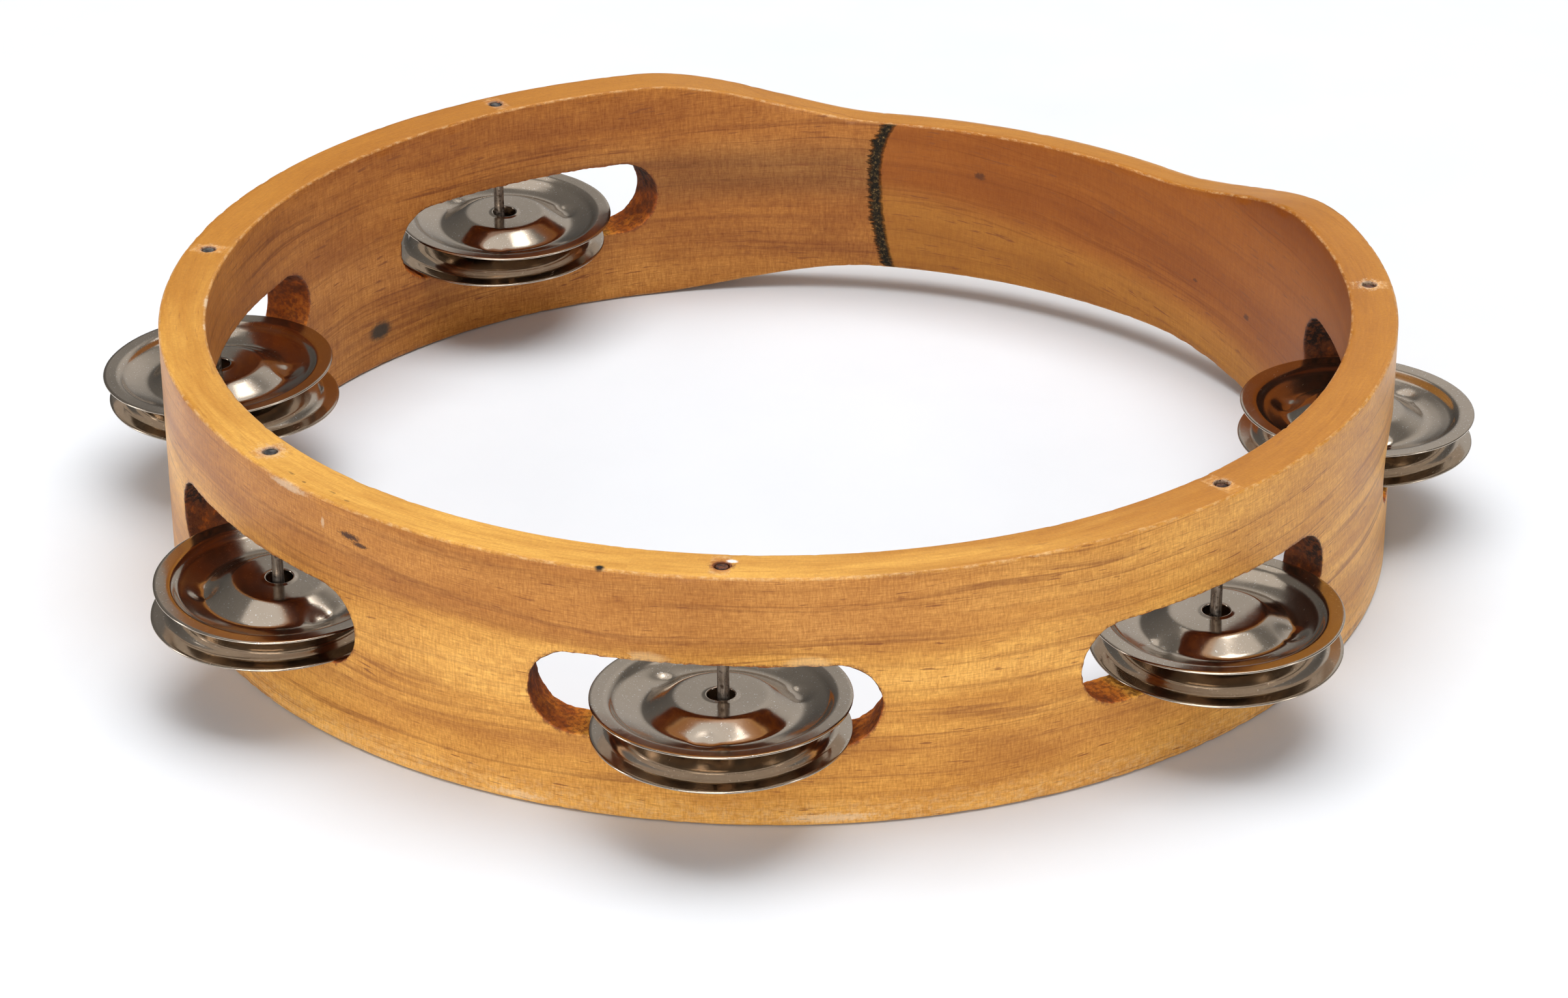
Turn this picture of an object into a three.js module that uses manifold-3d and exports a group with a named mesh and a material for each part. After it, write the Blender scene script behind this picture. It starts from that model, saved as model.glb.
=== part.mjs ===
// Headless tambourine: a bent wooden shell with a waisted hand grip and a ring of
// slots. Each slot holds a steel pin that carries two dished jingles back to back.
// Millimetres, +Z up, underside at z = 0, hand grip towards +Y.

import * as THREE from 'three';
import { mergeVertices } from 'three/addons/utils/BufferGeometryUtils.js';
import Module from 'manifold-3d';

const wasm = await Module();
wasm.setup();

// Shell
const outerRadius = 127;
const wallThickness = 9.6;
const shellHeight = 52;
const shellSegments = 120;
const edgeRadius = 0.6;
const cornerSteps = 2;

// Hand grip: the edges dip in between two easings, and are rounded over on the outside
const gripHalfAngle = 17;
const gripEaseEnd = 44;
const gripTopDip = 9.4;
const gripBottomRise = 6.2;
const gripEdgeRadius = 4.5;

// Slots and pins, counted from the middle of the side opposite the grip
const jinglePairs = 6;
const pinSpacing = 47.8;
const slotLag = 1.6;
const slotLength = 65.5;
const slotHeight = 16.8;
const slotFloor = 16.8;
const slotEndBow = 5;
const pinRadius = 1.15;
const pinBoreRadius = 1.5;
const pinFoot = 6.3;
const pinRecess = 0.8;
const pinSides = 12;
const boreFoot = pinFoot - 0.3;
const cutterOvershoot = 2;

// Jingles: radius and height of the sheet's middle, from the pin hole to the rim.
// At rest the lower rim lies on the rounded ends of the slot floor.
const jingleRadius = 24.6;
const sheetThickness = 0.45;
const jingleSegments = 24;
const rimHeight = 3.2;
const lowerRimRest = 17.9;
const jingleSection = [
  [2.5, 3.1],
  [9.4, 3.15],
  [14.8, 0.85],
  [21.1, 2.85],
  [jingleRadius, rimHeight],
];

const wallRadius = outerRadius - wallThickness / 2;
const degrees = Math.PI / 180;
const frontPinAngle = (pinSpacing / 2) * degrees;
// The origin is the middle of the box round shell and jingles
const ringCentreY = (wallRadius * Math.cos(frontPinAngle) + jingleRadius - outerRadius) / 2;

const wood = new THREE.MeshStandardMaterial({ color: 0xc98a45, roughness: 0.35, metalness: 0 });
const pinSteel = new THREE.MeshStandardMaterial({ color: 0x6f675c, roughness: 0.4, metalness: 1 });
const jingleSteel = new THREE.MeshStandardMaterial({ color: 0x9a968e, roughness: 0.18, metalness: 1 });

function toSolid(geometry) {
  const bare = geometry.clone();
  bare.deleteAttribute('normal');
  bare.deleteAttribute('uv');
  const merged = mergeVertices(bare);
  return new wasm.Manifold(new wasm.Mesh({
    numProp: 3,
    vertProperties: new Float32Array(merged.attributes.position.array),
    triVerts: new Uint32Array(merged.index.array),
  }));
}

function toGeometry(solid) {
  const mesh = solid.getMesh();
  const geometry = new THREE.BufferGeometry();
  geometry.setAttribute('position', new THREE.BufferAttribute(mesh.vertProperties, 3));
  geometry.setIndex(new THREE.BufferAttribute(mesh.triVerts, 1));
  geometry.computeVertexNormals();
  return geometry;
}

// 1 over the middle of the grip, 0 outside it, with an eased change between
function gripShare(angle) {
  const fromGrip = Math.abs(Math.atan2(Math.cos(angle), Math.sin(angle))) / degrees;
  return 1 - THREE.MathUtils.smoothstep(fromGrip, gripHalfAngle, gripEaseEnd);
}

// The wall's cross-section as [radius, height] points, a rectangle with round corners
function wallSection(share) {
  const outerRound = THREE.MathUtils.lerp(edgeRadius, gripEdgeRadius, share);
  const low = gripBottomRise * share;
  const high = shellHeight - gripTopDip * share;
  const inner = outerRadius - wallThickness + edgeRadius;
  const outer = outerRadius - outerRound;
  const corners = [
    [outer, low + outerRound, outerRound, -90],
    [outer, high - outerRound, outerRound, 0],
    [inner, high - edgeRadius, edgeRadius, 90],
    [inner, low + edgeRadius, edgeRadius, 180],
  ];
  const points = [];
  for (const [x, y, round, start] of corners) {
    for (let step = 0; step <= cornerSteps; step++) {
      const turn = (start + (90 * step) / cornerSteps) * degrees;
      points.push([x + round * Math.cos(turn), y + round * Math.sin(turn)]);
    }
  }
  points.push(points[0]);
  return points;
}

// A turned ring whose section is then waisted and softened over the grip
function bentStrip() {
  const profile = wallSection(0).map(([x, y]) => new THREE.Vector2(x, y));
  const ring = new THREE.LatheGeometry(profile, shellSegments);
  const position = ring.attributes.position;
  for (let segment = 0; segment <= shellSegments; segment++) {
    const angle = ((segment % shellSegments) / shellSegments) * 2 * Math.PI;
    wallSection(gripShare(angle)).forEach(([radius, height], index) => {
      const x = radius * Math.cos(angle);
      const y = radius * Math.sin(angle);
      position.setXYZ(segment * profile.length + index, x, y, height);
    });
  }
  return ring;
}

// A straight-sided slot with round ends, cut through the wall at one place on the ring
function slotCutter(angle) {
  const endRadius = slotHeight / 2;
  const halfStraight = slotLength / 2 - endRadius;
  const outline = new THREE.Shape();
  outline.absarc(halfStraight, 0, endRadius, -Math.PI / 2, Math.PI / 2, false);
  outline.absarc(-halfStraight, 0, endRadius, Math.PI / 2, (3 * Math.PI) / 2, false);
  // The curved wall falls back by about slotEndBow at the slot's ends
  const depth = wallThickness + 2 * cutterOvershoot + slotEndBow;
  const cutter = new THREE.ExtrudeGeometry(outline, { depth, bevelEnabled: false, curveSegments: 8 });
  cutter.translate(0, 0, outerRadius + cutterOvershoot - depth);
  cutter.rotateX(Math.PI / 2);
  cutter.rotateZ(angle + Math.PI / 2);
  cutter.translate(0, 0, slotFloor + endRadius);
  return cutter;
}

// The hole that a pin is driven into, from the top edge to below the slot
function pinBoreCutter(angle) {
  const depth = shellHeight + cutterOvershoot - boreFoot;
  const cutter = new THREE.CylinderGeometry(pinBoreRadius, pinBoreRadius, depth, pinSides);
  cutter.rotateX(Math.PI / 2);
  cutter.translate(wallRadius * Math.cos(angle), wallRadius * Math.sin(angle), boreFoot + depth / 2);
  return cutter;
}

function shellGeometry(pinAngles) {
  let solid = toSolid(bentStrip());
  for (const angle of pinAngles) {
    solid = solid.subtract(toSolid(slotCutter(angle - slotLag * degrees)));
    solid = solid.subtract(toSolid(pinBoreCutter(angle)));
  }
  return toGeometry(solid);
}

function pinGeometry() {
  const length = shellHeight - pinRecess - pinFoot;
  const pin = new THREE.CylinderGeometry(pinRadius, pinRadius, length, pinSides);
  pin.rotateX(Math.PI / 2);
  pin.translate(0, 0, pinFoot + length / 2);
  return pin;
}

// One dished disc, hollow side up; its back meets the other disc of the pair at z = 0
function jingleGeometry() {
  const half = sheetThickness / 2;
  const under = jingleSection.map(([radius, height]) => new THREE.Vector2(radius, height - half));
  const over = jingleSection.map(([radius, height]) => new THREE.Vector2(radius, height + half));
  const disc = new THREE.LatheGeometry([...under, ...over.reverse(), under[0]], jingleSegments);
  disc.rotateX(Math.PI / 2);
  return disc;
}

function addMesh(parent, name, geometry, material) {
  const mesh = new THREE.Mesh(geometry, material);
  mesh.name = name;
  parent.add(mesh);
  return mesh;
}

const tambourine = new THREE.Group();
tambourine.position.y = ringCentreY;

const pinAngles = [];
for (let index = 0; index < jinglePairs; index++) {
  const fromMiddle = index - (jinglePairs - 1) / 2;
  pinAngles.push((-90 + fromMiddle * pinSpacing) * degrees);
}

addMesh(tambourine, 'wooden_shell', shellGeometry(pinAngles), wood);

const meetingHeight = lowerRimRest + sheetThickness / 2 + rimHeight;
pinAngles.forEach((angle, index) => {
  const station = new THREE.Group();
  station.position.set(wallRadius * Math.cos(angle), wallRadius * Math.sin(angle), 0);
  station.rotation.z = angle;
  tambourine.add(station);

  addMesh(station, `pin_${index + 1}`, pinGeometry(), pinSteel);
  const lower = addMesh(station, `lower_jingle_${index + 1}`, jingleGeometry(), jingleSteel);
  lower.rotation.x = Math.PI;
  lower.position.z = meetingHeight;
  const upper = addMesh(station, `upper_jingle_${index + 1}`, jingleGeometry(), jingleSteel);
  upper.position.z = meetingHeight;
});

export default tambourine;
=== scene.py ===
# Looks of a headless tambourine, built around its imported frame. Metres, with the hoop's
# axis along +Z and the hand grip towards +Y.
import math

import bpy
import numpy as np
from mathutils import Euler, Matrix, Vector, noise


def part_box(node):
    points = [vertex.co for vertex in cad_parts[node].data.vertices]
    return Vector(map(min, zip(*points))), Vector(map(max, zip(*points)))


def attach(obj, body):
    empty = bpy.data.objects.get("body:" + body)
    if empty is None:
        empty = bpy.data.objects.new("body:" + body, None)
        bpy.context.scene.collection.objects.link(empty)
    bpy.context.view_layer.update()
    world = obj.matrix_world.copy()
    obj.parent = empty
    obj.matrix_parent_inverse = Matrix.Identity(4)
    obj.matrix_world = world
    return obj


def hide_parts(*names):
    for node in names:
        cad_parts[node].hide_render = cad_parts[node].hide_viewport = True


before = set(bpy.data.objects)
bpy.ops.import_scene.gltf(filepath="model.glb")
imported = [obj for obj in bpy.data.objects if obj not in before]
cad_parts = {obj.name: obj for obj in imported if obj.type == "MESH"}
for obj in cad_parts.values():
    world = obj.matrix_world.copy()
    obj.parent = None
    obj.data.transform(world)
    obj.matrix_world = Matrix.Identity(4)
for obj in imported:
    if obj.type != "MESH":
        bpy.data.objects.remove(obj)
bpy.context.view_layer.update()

MM = 0.001

# Camera: a long lens from the front right, 27 degrees above level
LENS = 99.24
CAMERA_PLACE = (0.39246, -0.70924, 0.41768)
CAMERA_TILT = math.radians(63.057)
CAMERA_HEADING = math.radians(28.728)
CAMERA_ROLL = -0.003847

# Studio: the floor's greys, and where the world's pale wall is and how bright it is
FLOOR_HALF = 12
FLOOR_DROP = 0.0002
FLOOR_GREYS = [(0.3, (0.745, 0.765, 0.795)), (0.7, (0.765, 0.785, 0.815))]
GLOW_DIRECTION = (-0.155, 0.877, 0.454)
GLOW_STRENGTH = 0.5

# Shell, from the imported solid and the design's own dimensions
shell_low, shell_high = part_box("wooden_shell")
OUTER = (shell_high.x - shell_low.x) / 2
HEIGHT = shell_high.z
CENTRE = Vector((0, (shell_low.y + shell_high.y) / 2, 0))
WALL = 9.6 * MM
INNER = OUTER - WALL
MIDDLE = OUTER - WALL / 2
EDGE_RADIUS = 0.6 * MM
CORNER_DENTS = 0.22 * MM

GRIP_HALF = 17
GRIP_EASE_END = 44
GRIP_TOP_DIP = 9.4 * MM
GRIP_BOTTOM_RISE = 6.2 * MM
GRIP_EDGE_RADIUS = 4.5 * MM

SLOT_LENGTH = 65.5 * MM
SLOT_HEIGHT = 16.8 * MM
SLOT_MIDDLE = 25.2 * MM
SLOT_LAG = math.radians(1.6)
SLOT_EDGE = 0.45 * MM
SLOT_BURNS = (1.0, 0.8, 1.25, 0.9, 1.1, 1.2)
SLOT_FINE_BITES = 0.26 * MM
SLOT_BROAD_BITES = 0.20 * MM
SLOT_BITE_MIDDLE = 0.08 * MM
SLOT_BITE_LIMITS = (-0.16 * MM, 0.5 * MM)
BURN_LEAST = 0.08
BURN_AT_ENDS = 0.44
BURN_AT_TOP = 0.46
BORE_RADIUS = 1.5 * MM
BORE_FOOT = 6.0 * MM
BORE_CHAMFER = 0.10 * MM
BORE_LIP = 0.25 * MM

# The glued scarf joint: the strip's end line on the inner wall, and the length of the taper
SEAM_ANGLE = math.radians(106)
SEAM_BOW = 3.7 * MM
SEAM_CREST = 30
SEAM_REACH_UP = 12.5
SEAM_REACH_DOWN = 23.8
SCARF_LENGTH = 55 * MM
GLUE_HALF_WIDTH = 1.9
GLUE_CREST = 0.5
GLUE_PROUD = 0.28 * MM
GLUE_LUMPS = 0.22 * MM

# Marks on the wood, mostly knots, stains and wear, and one painted glint: angle in degrees, then
# depth, height, half width and half height in millimetres, then strength, raggedness and colour
BROWN = (0.055, 0.020, 0.010)
SOOT = (0.030, 0.026, 0.018)
PALE = (0.82, 0.66, 0.46)
MARKS = (
    (-100.4, 0.0, 46.2, 2.9, 0.8, 0.95, 2.4, BROWN),
    (-99.2, 0.0, 45.1, 2.2, 0.5, 0.9, 2.4, BROWN),
    (-72.4, 0.0, 34.4, 5.0, 1.6, 0.22, 0.8, (0.95, 0.80, 0.50)),
    (-58.9, 0.0, 34.4, 5.0, 1.6, 0.20, 0.8, (0.95, 0.80, 0.50)),
    (-76.15, 0.6, 51.8, 1.1, 0.9, 1.0, 0.6, (0.006, 0.006, 0.006)),
    (-108.0, 0.0, 51.0, 6.0, 0.9, 0.45, 1.8, PALE),
    (-103.6, 0.0, 46.8, 0.5, 1.2, 0.4, 1.8, PALE),
    (-101.5, 2.2, 52.0, 0.7, 0.25, 0.6, 1.8, BROWN),
    (-103.6, 2.9, 52.0, 1.0, 0.28, 0.5, 1.8, BROWN),
    (-106.9, 2.0, 52.0, 0.6, 0.30, 0.6, 1.8, BROWN),
    (-109.0, 2.6, 52.0, 1.1, 0.30, 0.5, 1.8, BROWN),
    # A painted white glint on the top face, at the edge of the fourth pin's bore
    (-65.3, 6.6, 52.0, 1.3, 0.7, 1.0, 1.2, (0.92, 0.88, 0.84)),
    (-66.1, 4.8, 52.0, 2.5, 1.6, 0.8, 2.6, (0.16, 0.045, 0.012)),
    (150.5, 4.8, 52.0, 2.2, 2.1, 0.25, 1.8, PALE),
    (-161.7, 4.8, 52.0, 2.6, 2.2, 0.3, 3.4, PALE),
    (-113.9, 4.8, 52.0, 3.4, 2.6, 0.35, 3.4, PALE),
    (-18.3, 4.8, 52.0, 2.3, 2.0, 0.3, 3.4, PALE),
    (29.5, 4.8, 52.0, 2.8, 2.4, 0.4, 3.4, PALE),
    (-57.0, 0.0, 1.6, 9.0, 1.0, 0.42, 3.0, PALE),
    (-84.0, 0.0, 1.4, 6.0, 0.8, 0.35, 3.0, PALE),
    (-149.0, 9.4, 51.8, 3.2, 0.6, 0.6, 2.4, PALE),
    (-143.0, 9.4, 51.8, 2.0, 0.5, 0.5, 2.4, PALE),
    (168.95, 9.6, 8.5, 4.2, 2.5, 0.93, 0.7, SOOT),
    (95.4, 9.6, 32.0, 1.6, 1.0, 0.7, 1.8, BROWN),
    (57.0, 9.6, 20.0, 1.2, 0.8, 0.7, 1.8, BROWN),
    (66.0, 9.6, 22.0, 0.8, 0.5, 0.6, 1.8, BROWN),
)

# Jingle section, in millimetres: radius, and height of the sheet's middle above the plane
# where a pair meets. A punched lip, a flat-topped boss, a dished valley and a flat flange.
JINGLE_SECTION = [
    (2.65, 3.42), (2.90, 3.28), (3.20, 3.10), (9.2, 3.14), (14.3, 0.52), (15.4, 0.50),
    (17.6, 1.00), (19.9, 1.78), (21.2, 3.00), (24.45, 3.2),
]

# Half the sheet's thickness, the waviness of the rim, and three dimples, in millimetres
SHEET_HALF = 0.225
WARP = 0.12
DIMPLE_RADIUS = 14.6
DIMPLE_DEPTH = 0.4
DIMPLE_WIDTH = 2.8
DIMPLE_TURNS = (53, 31, 94, 47, 8, 70)
LOWER_DIMPLE_TURN = 25

# Creases of the sheet are eased over these half widths: the lip out to the first radius, the
# dish out to the second, then the flange
CREASE_RADII = (4.0, 19.5)
CREASE_EASES = (0.2, 0.75, 0.28)

# How far each pin ends below the top face, in millimetres, and how rusty its end is
PIN_TOPS = (0.14, 0.18, 0.08, 0.12, 0.55, 0.55)
PIN_STAINS = (0, 0, 0, 1, 0.8, 0.8)
PIN_FLARE = 1.08
PIN_DENTS = 0.035
PIN_TOP_DENTS = 0.12
PIN_TOP_LENGTH = 0.5 * MM
PIN_TOP_BATTER = 0.12 * MM

# How each jingle hangs on its pin: shift off the axis towards +X and +Y in millimetres, drop
# in millimetres, and slope towards +X and +Y
HANGS = {
    "upper": (
        (1.19, 0.32, 0.0, -0.040, 0.030),
        (0.20, 0.30, 0.22, 0.024, 0.036),
        (0.29, 0.00, 0.5, -0.029, 0.038),
        (-0.50, 0.00, 0.05, 0.018, -0.024),
        (0.05, 0.20, 0.2, 0.015, 0.012),
        (-0.67, -1.06, 0.5, -0.019, -0.020),
    ),
    "lower": (
        (-0.30, -0.35, -0.1, -0.014, 0.020),
        (1.18, 0.65, 0.3, -0.026, -0.014),
        (-0.80, 0.00, 0.3, -0.010, 0.018),
        (-0.62, 0.00, 0.15, 0.010, -0.018),
        (0.05, 0.50, 0.35, -0.014, 0.020),
        (-0.90, -1.06, 0.5, 0.0, 0.0),
    ),
}

# Mesh fineness of the shell
PANEL_HALF = 37.5 * MM
PANEL_COLUMNS = 70
GAP_COLUMNS = 20
GRIP_COLUMNS = 150
SEAM_FINENESS = 2.5
SEAM_FINE_WIDTH = 2.6
SEAM_FINE_SHIFT = 1.3
SLOT_ROWS = 30
MARGIN_ROWS = 7
SLOT_BLOCK_HALF = 12.2 * MM
CORNER_STEPS = 5
EDGE_FACE_STEPS = 8
TUBE_LAYERS = 12
BORE_HALF_BLOCK = 2
LIP_STEPS = 3
FLOW_SHARES = (0.24, 0.45, 0.63, 0.78, 0.90)

# Mesh fineness of the jingles and pins
JINGLE_SEGMENTS = 144
JINGLE_RINGS = 46
RIM_STEPS = 4
PIN_SEGMENTS = 28
PIN_LEVELS = 60

pin_count = sum(name.startswith("pin_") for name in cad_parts)
numbers = range(1, pin_count + 1)


def box_middle(node):
    """The middle of a CAD node's box."""
    low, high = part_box(node)
    return (low + high) / 2


pins = [box_middle(f"pin_{number}") for number in numbers]


def pin_angle(number):
    """Where a pin stands round the hoop's axis."""
    place = pins[number - 1] - CENTRE
    return math.atan2(place.y, place.x)


def smoothstep(value, start, end):
    """0 at the start, 1 at the end, eased between them."""
    share = np.clip((np.asarray(value, float) - start) / (end - start), 0, 1)
    return share * share * (3 - 2 * share)


def wrapped(angle):
    """The same angle from -pi to pi."""
    return (np.asarray(angle) + math.pi) % (2 * math.pi) - math.pi


def direction(points):
    """Angles of points round the hoop's axis."""
    return np.arctan2(points[..., 1] - CENTRE.y, points[..., 0])


def rough(points, scale, octaves=3, shift=0.0):
    """Smooth random values of about -1 to 1 at points, with features of about 1 / scale."""
    offset = Vector((shift, 2.3 * shift, -1.7 * shift))
    return np.array([noise.fractal(Vector(p) * scale + offset, 1.0, 2.0, octaves) for p in points])


def new_object(name, data):
    """An object in the scene, made from its data."""
    made = bpy.data.objects.new(name, data)
    bpy.context.scene.collection.objects.link(made)
    return made


# -------------------- camera, floor and lights

def make_camera():
    """The view from the front right."""
    data = bpy.data.cameras.new("camera")
    data.lens = LENS
    data.clip_start = 0.05
    data.clip_end = 50
    camera = new_object("camera", data)
    camera.location = CAMERA_PLACE
    turn = Euler((CAMERA_TILT, 0, CAMERA_HEADING)).to_matrix()
    camera.rotation_euler = (turn @ Matrix.Rotation(CAMERA_ROLL, 3, "Z")).to_euler()
    bpy.context.scene.camera = camera


def make_floor():
    """A pale plain floor, just under the part."""
    data = bpy.data.meshes.new("floor")
    corners = [(-1, -1, 0), (1, -1, 0), (1, 1, 0), (-1, 1, 0)]
    data.from_pydata([(x * FLOOR_HALF, y * FLOOR_HALF, z) for x, y, z in corners], [], [(0, 1, 2, 3)])
    floor = new_object("floor", data)
    floor.location.z = -FLOOR_DROP
    paint = Shader("floor_paint")
    paint.set(**{"Roughness": 0.9, "Specular IOR Level": 0.1})
    speck = paint.noise(paint.object_place(), 30, detail=4)
    paint.set(**{"Base Color": paint.ramp(speck, FLOOR_GREYS)})
    paint.onto(floor)


def make_world():
    """A plain world, brighter upwards, with a pale wall behind for the jingles to mirror."""
    world = bpy.data.worlds.new("studio")
    world.use_nodes = True
    nodes = Nodes(world.node_tree)
    place = nodes.add("TexCoord", {}, "Generated")
    up = nodes.split(place, "Z")
    sky = nodes.add("MapRange", {"Value": up, "From Max": 0.8, "To Min": 0.08, "To Max": 0.25})
    inputs = {0: place, 1: GLOW_DIRECTION}
    facing = nodes.add("VectorMath", inputs, "Value", operation="DOT_PRODUCT")
    glow = nodes.remap(facing, 0.86, 0.99, 0.0, GLOW_STRENGTH)
    background = nodes.tree.nodes["Background"].inputs
    nodes.feed(background["Strength"], nodes.math("ADD", sky, glow))
    nodes.feed(background["Color"], (1, 1, 1))
    bpy.context.scene.world = world


def make_light(name, place, aim, size, power):
    """A soft rectangular lamp."""
    data = bpy.data.lights.new(name, "AREA")
    data.shape = "RECTANGLE"
    data.size, data.size_y = size
    data.energy = power
    light = new_object(name, data)
    light.location = place
    light.rotation_euler = (Vector(aim) - Vector(place)).to_track_quat("-Z", "Y").to_euler()
    return light


def make_lights():
    """A broad lamp that is mirrored only as a dim sky with small lamps in it, and low fills."""
    overhead = make_light("overhead", (0, 0.15, 1.45), (0, 0.05, 0), (1.6, 1.3), 27.5)
    overhead.visible_glossy = False
    for name, place, aim, size, power in (
        ("sky", (0, 0.15, 1.44), (0, 0.05, 0), (1.6, 1.3), 5),
        ("back_lamp", (0.10, 0.42, 1.40), (0, 0, 0), (0.34, 0.34), 1.3),
        ("front_lamp", (0.24, -0.45, 1.30), (0, 0, 0), (0.6, 0.3), 4.6),
    ):
        make_light(name, place, aim, size, power).visible_diffuse = False
    make_light("front_fill", (0.45, -1.7, 0.38), (0, 0, 0.02), (1.1, 0.6), 15.5)
    make_light("left_strip", (-1.25, -0.75, 0.35), (0, 0, 0.02), (0.22, 1.2), 5)
    make_light("right_strip", (1.45, 0.0, 0.35), (0, 0, 0.02), (0.22, 1.2), 3)


# -------------------- materials

class Nodes:
    """A node tree: each method that adds a node gives back its output."""

    def __init__(self, tree):
        self.tree = tree

    def feed(self, socket, value):
        """Links an output to a socket, or sets the socket to a constant."""
        if isinstance(value, bpy.types.NodeSocket):
            self.tree.links.new(value, socket)
        elif socket.type == "RGBA":
            socket.default_value = (*value, 1)
        else:
            socket.default_value = value

    def add(self, kind, inputs, output=0, **settings):
        node = self.tree.nodes.new("ShaderNode" + kind)
        for key, value in settings.items():
            setattr(node, key, value)
        for key, value in inputs.items():
            self.feed(node.inputs[key], value)
        return node.outputs[output]

    def object_place(self):
        return self.add("TexCoord", {}, "Object")

    def attribute(self, name, output="Fac"):
        return self.add("Attribute", {}, output, attribute_name=name)

    def split(self, vector, axis):
        return self.add("SeparateXYZ", {0: vector}, axis)

    def join(self, x, y, z):
        return self.add("CombineXYZ", {0: x, 1: y, 2: z})

    def math(self, operation, a, b=0.0, c=0.0):
        return self.add("Math", {0: a, 1: b, 2: c}, operation=operation)

    def times(self, value, *factors):
        for factor in factors:
            value = self.math("MULTIPLY", value, factor)
        return value

    def times_plus(self, value, factor, more):
        return self.math("MULTIPLY_ADD", value, factor, more)

    def without(self, share):
        return self.math("SUBTRACT", 1.0, share)

    def sway(self, noise, amount, around):
        """A noise's swings about its middle, scaled, and added to another value."""
        return self.times_plus(self.math("SUBTRACT", noise, 0.5), amount, around)

    def stretch(self, vector, scale, shift=(0, 0, 0)):
        return self.add("Mapping", {"Vector": vector, "Scale": scale, "Location": shift})

    def noise(self, vector, scale=1.0, detail=2.0, roughness=0.5):
        values = {"Vector": vector, "Scale": scale, "Detail": detail, "Roughness": roughness}
        return self.add("TexNoise", values)

    def remap(self, value, low, high, start=0.0, end=1.0):
        values = {"Value": value, "From Min": low, "From Max": high, "To Min": start, "To Max": end}
        return self.add("MapRange", values, interpolation_type="SMOOTHSTEP")

    def ramp(self, value, stops):
        node = self.tree.nodes.new("ShaderNodeValToRGB")
        self.tree.links.new(value, node.inputs[0])
        while len(node.color_ramp.elements) < len(stops):
            node.color_ramp.elements.new(0.5)
        for element, (place, colour) in zip(node.color_ramp.elements, stops):
            element.position = place
            element.color = (*colour, 1)
        return node.outputs[0]

    def blend(self, share, a, b, mode="MIX"):
        return self.add("Mix", {0: share, 6: a, 7: b}, 2, data_type="RGBA", blend_type=mode)


class Shader(Nodes):
    """A Principled material."""

    def __init__(self, name):
        self.material = bpy.data.materials.new(name)
        self.material.use_nodes = True
        super().__init__(self.material.node_tree)
        self.surface = next(n for n in self.tree.nodes if n.type == "BSDF_PRINCIPLED")

    def set(self, **sockets):
        """Feeds the surface's own sockets."""
        for key, value in sockets.items():
            self.feed(self.surface.inputs[key], value)

    def onto(self, piece):
        piece.data.materials.clear()
        piece.data.materials.append(self.material)

    def mark(self, strip, degrees, into, height, wide, tall, share, raggedness):
        """A blotch at one place on the strip, up to the given share, with a ragged outline."""
        along = float(wrapped(math.radians(degrees) - SEAM_ANGLE)) * OUTER / MM
        scale = (1 / wide, 1 / tall, 1 / tall)
        shift = (-along / wide, -into / tall, -height / tall)
        near = self.stretch(strip, scale, shift)
        distance = self.add("VectorMath", {0: near}, "Value", operation="LENGTH")
        ragged = self.noise(self.stretch(strip, (1.3, 1.8, 1.8)), detail=4, roughness=0.75)
        distance = self.sway(ragged, raggedness, distance)
        return self.remap(distance, 0.45, 1.15, share, 0.0)

    def bump(self, height, distance, under=None):
        inputs = {"Height": height, "Distance": distance}
        if under is not None:
            inputs["Normal"] = under
        return self.add("Bump", inputs)


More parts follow.
